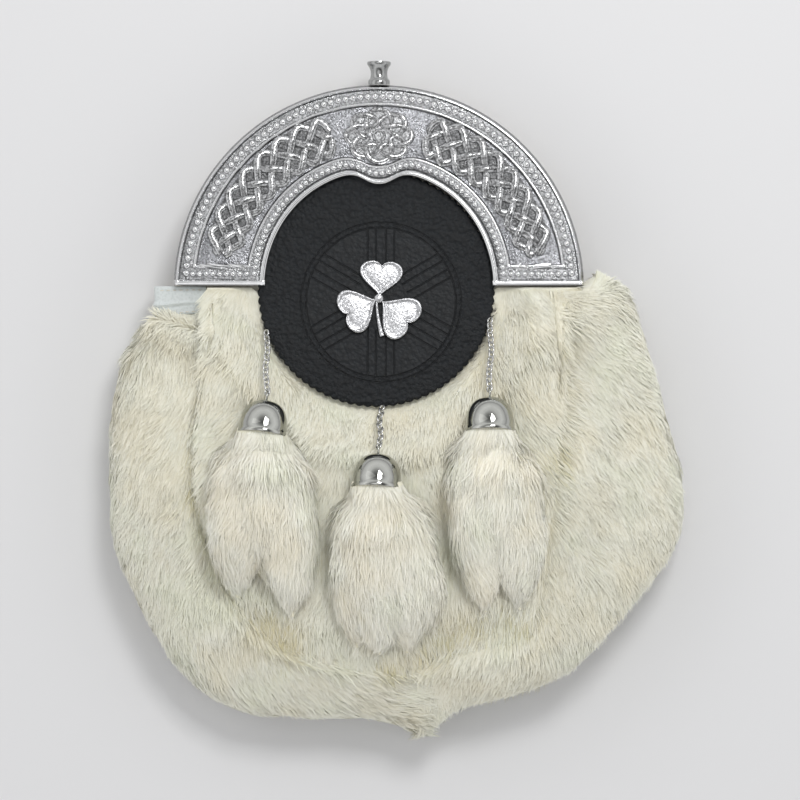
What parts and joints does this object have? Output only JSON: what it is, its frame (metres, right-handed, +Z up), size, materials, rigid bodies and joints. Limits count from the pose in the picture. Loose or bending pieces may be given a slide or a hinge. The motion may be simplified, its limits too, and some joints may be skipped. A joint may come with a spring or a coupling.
{
  "type": "sporran pouch",
  "caption": "Dress sporran: white fur pouch with a cast arch cantle and knob, black leather roundel with a clover badge, and chained bells with fur tassels.",
  "frame": {"origin": "under the middle of the whole sporran, on the surface that its back lies on", "axes": "+Z up from the back panel through the fur front, +Y towards the knob, +X towards the right seen from the front"},
  "size_m": [0.2224, 0.2584, 0.0624],
  "materials": {
    "back_panel": "smooth cream leather",
    "hanging_strap": "smooth cream leather",
    "gusset": "smooth cream leather",
    "front_panel": "smooth cream leather",
    "shoulder_tab": "white leather, slightly blue",
    "fur": "cream-white rabbit fur",
    "cantle": "bright plate with a stippled ground",
    "finial": "polished plate",
    "bells": "polished plate",
    "chains": "polished plate",
    "badge": "textured bright plate",
    "roundel": "black grained leather, embossed"
  },
  "bodies": {
    "root": {"back_panel": "back_panel", "hanging_strap": "hanging_strap", "gusset": "gusset", "front_panel": "front_panel", "fur_center": "fur", "fur_border_left": "fur", "fur_border_right": "fur", "shoulder_tab": "shoulder_tab", "cantle": "cantle", "finial": "finial", "leather_roundel": "roundel", "shamrock_badge": "badge", "chain_left": "chains", "chain_middle": "chains", "chain_right": "chains", "bell_left": "bells", "bell_middle": "bells", "bell_right": "bells", "tassel_left": "fur", "tassel_middle": "fur", "tassel_right": "fur"}
  },
  "joints": []
}
